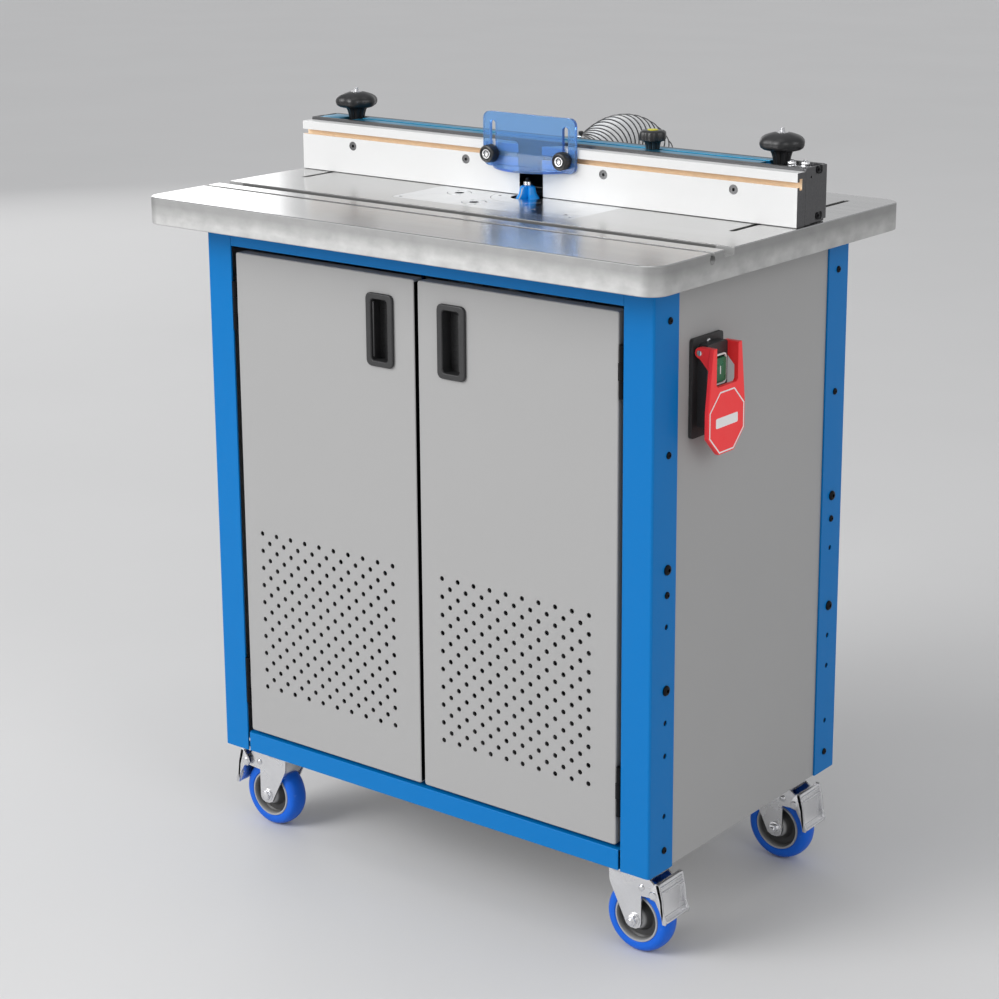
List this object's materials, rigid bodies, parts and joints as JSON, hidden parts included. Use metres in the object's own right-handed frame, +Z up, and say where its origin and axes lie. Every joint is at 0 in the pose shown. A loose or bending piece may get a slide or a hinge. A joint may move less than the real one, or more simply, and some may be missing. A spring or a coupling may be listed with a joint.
{
  "type": "router table",
  "caption": "Router table with a cast-iron top, sliding fence, bit guard and lifted router, on a two-door steel cabinet with locking casters.",
  "frame": {"origin": "on the floor under the centre of the table top, measured without the dust hose", "axes": "+X right along the fence, +Y to the back, +Z up"},
  "size_m": [0.824, 0.6678, 1.028],
  "materials": {
    "table": "ground and satin",
    "insert": "brushed",
    "blue_steel": "gloss powder coat",
    "grey_steel": "satin powder coat",
    "black_plastic": "fine texture",
    "hinge_steel": "black",
    "red_plastic": "gloss",
    "green_plastic": "gloss",
    "zinc": "zinc plated",
    "wheel": "blue polyurethane tread on a grey hub",
    "dark_aluminium": "dark grey anodised",
    "blue_aluminium": "blue anodised",
    "white_board": "white melamine on fibreboard",
    "guard": "clear blue acrylic",
    "hose": "clear polyurethane with a spiral wire",
    "motor": "satin",
    "carriage": "machined",
    "cutter": "blue coating"
  },
  "bodies": {
    "cabinet": {"table_top": "table", "insert_plate": "insert", "insert_ring": "insert", "post_front_left": "blue_steel", "post_front_right": "blue_steel", "post_rear_left": "blue_steel", "post_rear_right": "blue_steel", "rail_top_front": "blue_steel", "rail_bottom_front": "blue_steel", "side_panel_left": "grey_steel", "side_panel_right": "grey_steel", "back_panel": "grey_steel", "floor_panel": "grey_steel", "hinge_left_lower": "hinge_steel", "hinge_left_upper": "hinge_steel", "hinge_right_lower": "hinge_steel", "hinge_right_upper": "hinge_steel", "switch_box": "black_plastic", "lift_frame": "zinc", "caster_plate_front_left": "zinc", "caster_plate_front_right": "zinc", "caster_plate_rear_left": "zinc", "caster_plate_rear_right": "zinc"},
    "door_left": {"door_left": "grey_steel", "handle_left": "black_plastic"},
    "door_right": {"door_right": "grey_steel", "handle_right": "black_plastic"},
    "fence": {"fence_body": "dark_aluminium", "fence_track": "blue_aluminium", "fence_end_cap_left": "dark_aluminium", "fence_end_cap_right": "dark_aluminium", "dust_port": "black_plastic", "dust_hose": "hose"},
    "face_left": {"fence_face_left": "white_board"},
    "face_right": {"fence_face_right": "white_board"},
    "clamp_left": {"clamp_knob_left": "black_plastic"},
    "clamp_right": {"clamp_knob_right": "black_plastic"},
    "track_knob": {"track_knob": "black_plastic"},
    "guard": {"guard_shield": "guard"},
    "guard_knob_left": {"guard_knob_left": "black_plastic"},
    "guard_knob_right": {"guard_knob_right": "black_plastic"},
    "paddle": {"stop_paddle": "red_plastic"},
    "start_button": {"start_button": "green_plastic"},
    "stop_button": {"stop_button": "red_plastic"},
    "router": {"lift_carriage": "carriage", "router_motor": "motor"},
    "bit": {"router_bit": "cutter"},
    "lift_screw": {"lift_screw": "zinc"},
    "fork_front_left": {"caster_fork_front_left": "zinc"},
    "wheel_front_left": {"caster_wheel_front_left": "wheel"},
    "pedal_front_left": {"brake_pedal_front_left": "zinc"},
    "fork_rear_left": {"caster_fork_rear_left": "zinc"},
    "wheel_rear_left": {"caster_wheel_rear_left": "wheel"},
    "pedal_rear_left": {"brake_pedal_rear_left": "zinc"},
    "fork_front_right": {"caster_fork_front_right": "zinc"},
    "wheel_front_right": {"caster_wheel_front_right": "wheel"},
    "pedal_front_right": {"brake_pedal_front_right": "zinc"},
    "fork_rear_right": {"caster_fork_rear_right": "zinc"},
    "wheel_rear_right": {"caster_wheel_rear_right": "wheel"},
    "pedal_rear_right": {"brake_pedal_rear_right": "zinc"}
  },
  "joints": [
    {"name": "door_left_hinge", "type": "hinge", "parent": "cabinet", "child": "door_left", "pos_m": [-0.3166, -0.2165, 0.5], "axis": [0, 0, -1], "range_deg": [0, 110]},
    {"name": "door_right_hinge", "type": "hinge", "parent": "cabinet", "child": "door_right", "pos_m": [0.3166, -0.2165, 0.5], "axis": [0, 0, 1], "range_deg": [0, 110]},
    {"name": "fence_slide", "type": "slide", "parent": "cabinet", "child": "fence", "axis": [0, 1, 0], "range_m": [-0.05, 0.12], "deforming": ["dust_hose"]},
    {"name": "face_left_slide", "type": "slide", "parent": "fence", "child": "face_left", "axis": [-1, 0, 0], "range_m": [0, 0.03]},
    {"name": "face_right_slide", "type": "slide", "parent": "fence", "child": "face_right", "axis": [1, 0, 0], "range_m": [0, 0.03]},
    {"name": "clamp_left_turn", "type": "hinge", "parent": "fence", "child": "clamp_left", "pos_m": [-0.3526, 0.075, 1], "axis": [0, 0, 1], "continuous": true},
    {"name": "clamp_right_turn", "type": "hinge", "parent": "fence", "child": "clamp_right", "pos_m": [0.3526, 0.075, 1], "axis": [0, 0, 1], "continuous": true},
    {"name": "track_knob_turn", "type": "hinge", "parent": "fence", "child": "track_knob", "pos_m": [0.1635, 0.0665, 1], "axis": [0, 0, 1], "continuous": true},
    {"name": "guard_slide", "type": "slide", "parent": "fence", "child": "guard", "axis": [0, 0, 1], "range_m": [-0.0075, 0]},
    {"name": "guard_knob_left_turn", "type": "hinge", "parent": "fence", "child": "guard_knob_left", "pos_m": [-0.06, 0.01, 0.9673], "axis": [0, -1, 0], "continuous": true},
    {"name": "guard_knob_right_turn", "type": "hinge", "parent": "fence", "child": "guard_knob_right", "pos_m": [0.06, 0.01, 0.9673], "axis": [0, -1, 0], "continuous": true},
    {"name": "paddle_lift", "type": "hinge", "parent": "cabinet", "child": "paddle", "pos_m": [0.3745, -0.107, 0.7835], "axis": [0, -1, 0], "range_deg": [0, 75]},
    {"name": "start_press", "type": "slide", "parent": "cabinet", "child": "start_button", "axis": [-1, 0, 0], "range_m": [0, 0.003], "stiffness_N_per_m": 300},
    {"name": "stop_press", "type": "slide", "parent": "cabinet", "child": "stop_button", "axis": [-1, 0, 0], "range_m": [0, 0.003], "stiffness_N_per_m": 300},
    {"name": "router_lift", "type": "slide", "parent": "cabinet", "child": "router", "axis": [0, 0, 1], "range_m": [-0.065, 0.01]},
    {"name": "bit_spin", "type": "hinge", "parent": "router", "child": "bit", "pos_m": [0, 0.0142, 0.892], "axis": [0, 0, 1], "continuous": true},
    {"name": "lift_screw_turn", "type": "hinge", "parent": "cabinet", "child": "lift_screw", "pos_m": [-0.094, -0.0129, 0.8], "axis": [0, 0, 1], "range_deg": [-3000, 500]},
    {"name": "swivel_front_left", "type": "hinge", "parent": "cabinet", "child": "fork_front_left", "pos_m": [-0.2987, -0.165, 0.11], "axis": [0, 0, 1], "continuous": true},
    {"name": "wheel_spin_front_left", "type": "hinge", "parent": "fork_front_left", "child": "wheel_front_left", "pos_m": [-0.3187, -0.165, 0.0475], "axis": [0, 1, 0], "continuous": true},
    {"name": "pedal_front_left", "type": "hinge", "parent": "fork_front_left", "child": "pedal_front_left", "pos_m": [-0.3527, -0.165, 0.093], "axis": [0, 1, 0], "range_deg": [0, 16]},
    {"name": "swivel_rear_left", "type": "hinge", "parent": "cabinet", "child": "fork_rear_left", "pos_m": [-0.2987, 0.174, 0.11], "axis": [0, 0, 1], "continuous": true},
    {"name": "wheel_spin_rear_left", "type": "hinge", "parent": "fork_rear_left", "child": "wheel_rear_left", "pos_m": [-0.3187, 0.174, 0.0475], "axis": [0, 1, 0], "continuous": true},
    {"name": "pedal_rear_left", "type": "hinge", "parent": "fork_rear_left", "child": "pedal_rear_left", "pos_m": [-0.3527, 0.174, 0.093], "axis": [0, 1, 0], "range_deg": [0, 16]},
    {"name": "swivel_front_right", "type": "hinge", "parent": "cabinet", "child": "fork_front_right", "pos_m": [0.2987, -0.165, 0.11], "axis": [0, 0, 1], "continuous": true},
    {"name": "wheel_spin_front_right", "type": "hinge", "parent": "fork_front_right", "child": "wheel_front_right", "pos_m": [0.3187, -0.165, 0.0475], "axis": [0, 1, 0], "continuous": true},
    {"name": "pedal_front_right", "type": "hinge", "parent": "fork_front_right", "child": "pedal_front_right", "pos_m": [0.3527, -0.165, 0.093], "axis": [0, -1, 0], "range_deg": [0, 16]},
    {"name": "swivel_rear_right", "type": "hinge", "parent": "cabinet", "child": "fork_rear_right", "pos_m": [0.2987, 0.174, 0.11], "axis": [0, 0, 1], "continuous": true},
    {"name": "wheel_spin_rear_right", "type": "hinge", "parent": "fork_rear_right", "child": "wheel_rear_right", "pos_m": [0.3187, 0.174, 0.0475], "axis": [0, 1, 0], "continuous": true},
    {"name": "pedal_rear_right", "type": "hinge", "parent": "fork_rear_right", "child": "pedal_rear_right", "pos_m": [0.3527, 0.174, 0.093], "axis": [0, -1, 0], "range_deg": [0, 16]}
  ],
  "couplings": [
    {"joint": "lift_screw_turn", "follows": "router_lift", "rad_per_m": 785.4}
  ]
}
